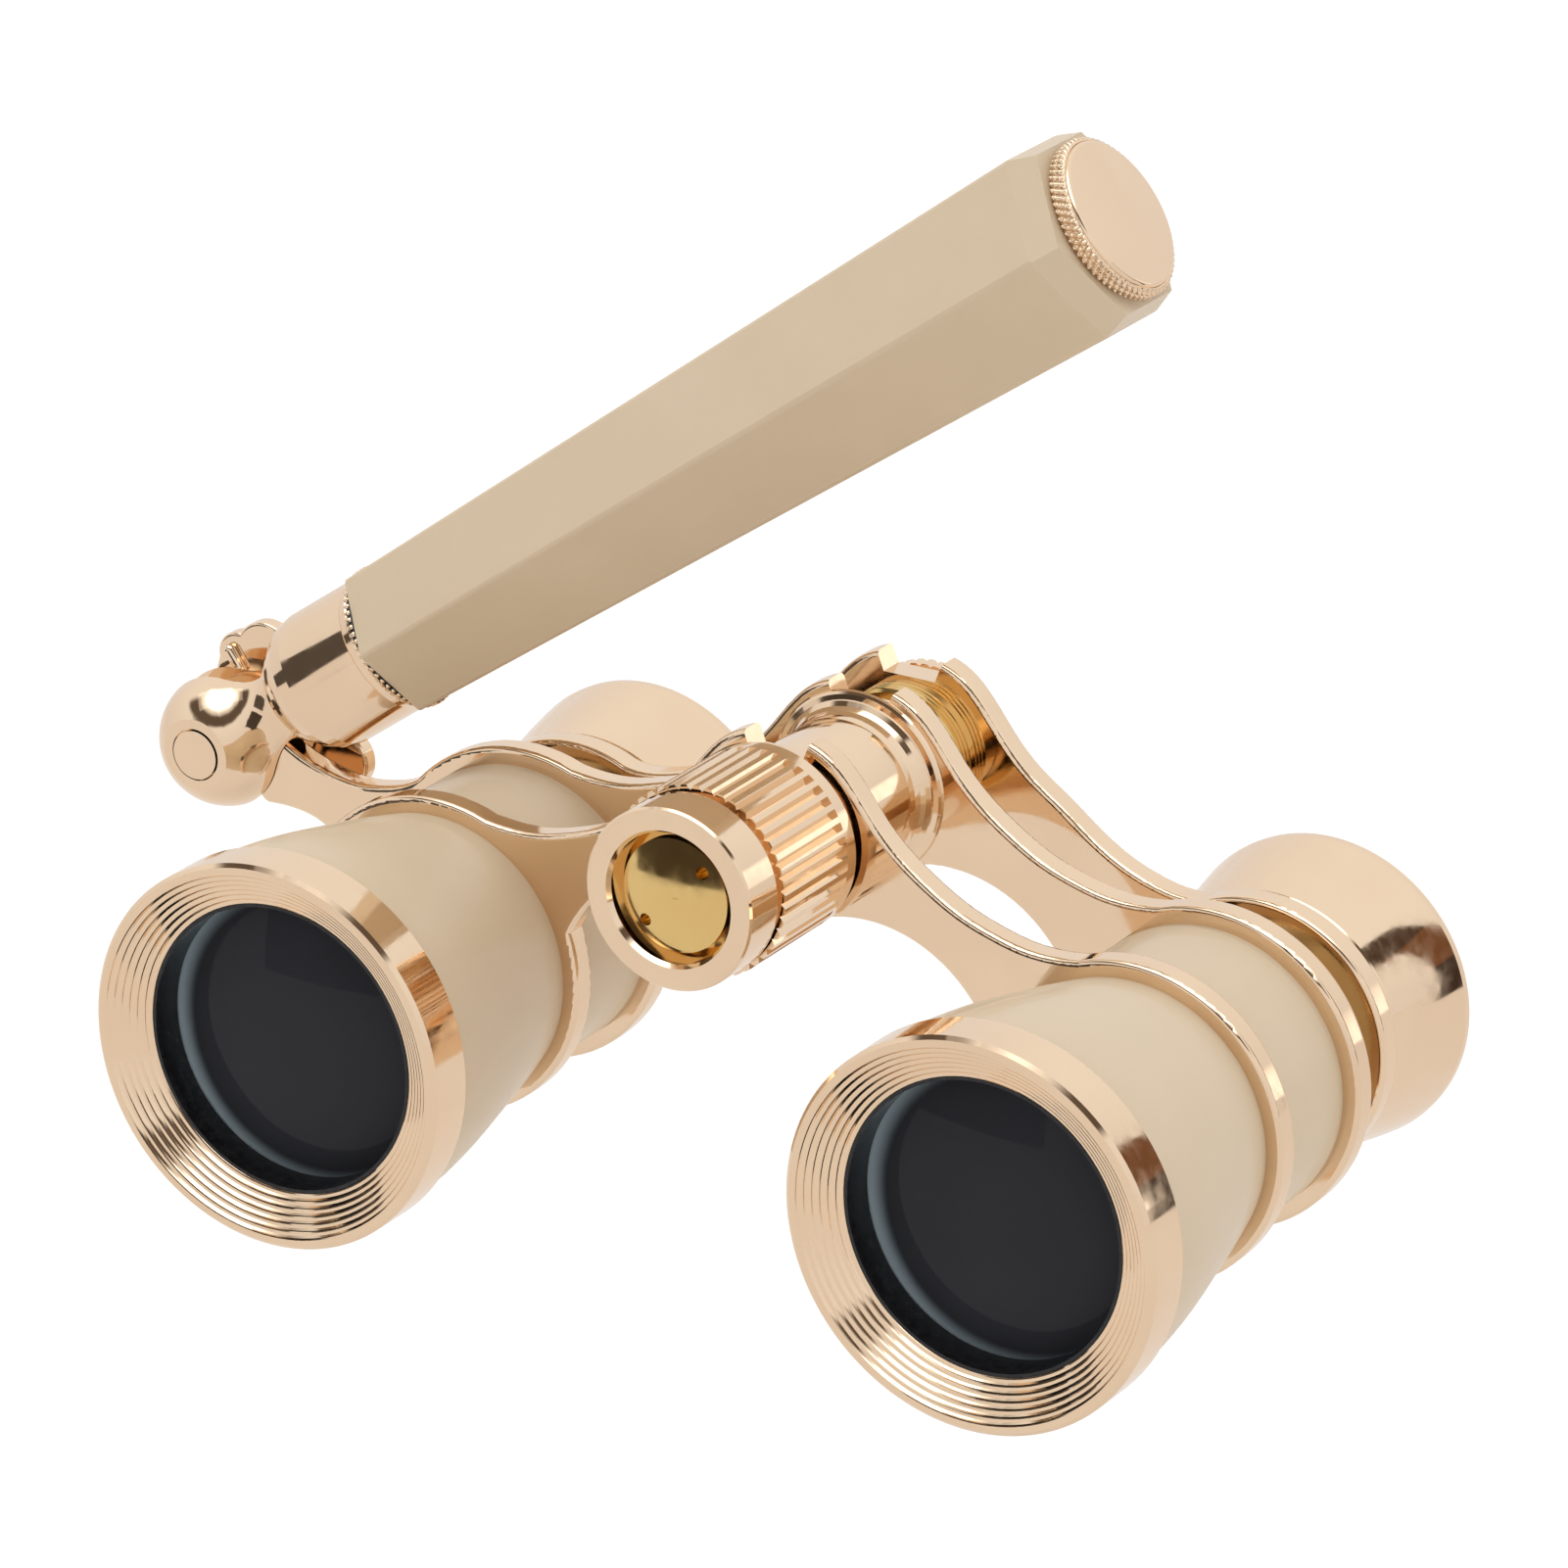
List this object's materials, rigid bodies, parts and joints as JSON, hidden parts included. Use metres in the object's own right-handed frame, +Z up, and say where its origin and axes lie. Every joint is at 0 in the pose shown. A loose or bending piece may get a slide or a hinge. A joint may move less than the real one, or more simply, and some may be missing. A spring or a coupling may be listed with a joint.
{
  "type": "opera glasses",
  "caption": "Small plated and painted opera glasses with a centre focus wheel, sliding eyepiece bridge, and a six-sided handle hinged at one side and folded over the barrels.",
  "frame": {"origin": "middle of the bounding box in X and Y, on the level of the bezels' lowest points", "axes": "+X along the bridges from the handle hinge to the far barrel, +Y from the objectives back to the eyecups, +Z up"},
  "size_m": [0.112, 0.056, 0.0846],
  "materials": {
    "rose_gold": "mirror-polished rose gold plating",
    "champagne_paint": "smooth glossy champagne enamel",
    "brass": "turned, clear-lacquered",
    "black": "matt black",
    "glass": "polished, coated",
    "steel": "ground"
  },
  "bodies": {
    "frame": {"objective_bezel_right": "rose_gold", "objective_bezel_left": "rose_gold", "lens_retainer_right": "black", "lens_retainer_left": "black", "objective_lens_right": "glass", "objective_lens_left": "glass", "front_barrel_right": "champagne_paint", "front_barrel_left": "champagne_paint", "barrel_tube_right": "champagne_paint", "barrel_tube_left": "champagne_paint", "tube_end_ring_right": "rose_gold", "tube_end_ring_left": "rose_gold", "front_bridge": "rose_gold", "middle_bridge": "rose_gold", "centre_tube": "rose_gold", "tube_collar": "rose_gold", "spindle_bushing": "brass", "knob_washer": "rose_gold"},
    "focus_wheel": {"focus_knob": "rose_gold", "knob_face_disc": "brass", "focus_spindle": "steel"},
    "eyepieces": {"eyepiece_bridge": "rose_gold", "eyepiece_tube_right": "rose_gold", "eyepiece_tube_left": "rose_gold", "eyecup_right": "rose_gold", "eyecup_left": "rose_gold", "ocular_lens_right": "glass", "ocular_lens_left": "glass", "ocular_retainer_right": "black", "ocular_retainer_left": "black", "focus_slide": "brass", "slide_collar": "brass", "slide_end_cap": "rose_gold"},
    "handle": {"handle_knuckle": "rose_gold", "hinge_pin": "rose_gold", "wing_plate": "rose_gold", "hinge_nut": "rose_gold", "handle_washer": "rose_gold", "handle_ferrule": "rose_gold", "handle_inner_tube": "rose_gold", "tube_stop": "brass"},
    "grip": {"grip_bushing": "brass", "handle_grip": "champagne_paint", "cap_ring": "rose_gold", "cap_disc": "rose_gold"}
  },
  "joints": [
    {"name": "focus_spin", "type": "hinge", "parent": "frame", "child": "focus_wheel", "pos_m": [0.00931, -0.01199, 0.03259], "axis": [0, 1, 0], "range_deg": [-180, 240]},
    {"name": "bridge_slide", "type": "slide", "parent": "frame", "child": "eyepieces", "axis": [0, 1, 0], "range_m": [-0.003, 0.004]},
    {"name": "handle_fold", "type": "hinge", "parent": "frame", "child": "handle", "pos_m": [-0.05049, 0.00946, 0.02356], "axis": [0, -1, 0], "range_deg": [-6, 214]},
    {"name": "grip_slide", "type": "slide", "parent": "handle", "child": "grip", "axis": [0.8074, 0.0809, 0.5845], "range_m": [0, 0.04]}
  ],
  "couplings": [
    {"joint": "focus_spin", "follows": "bridge_slide", "rad_per_m": 1047.2}
  ]
}
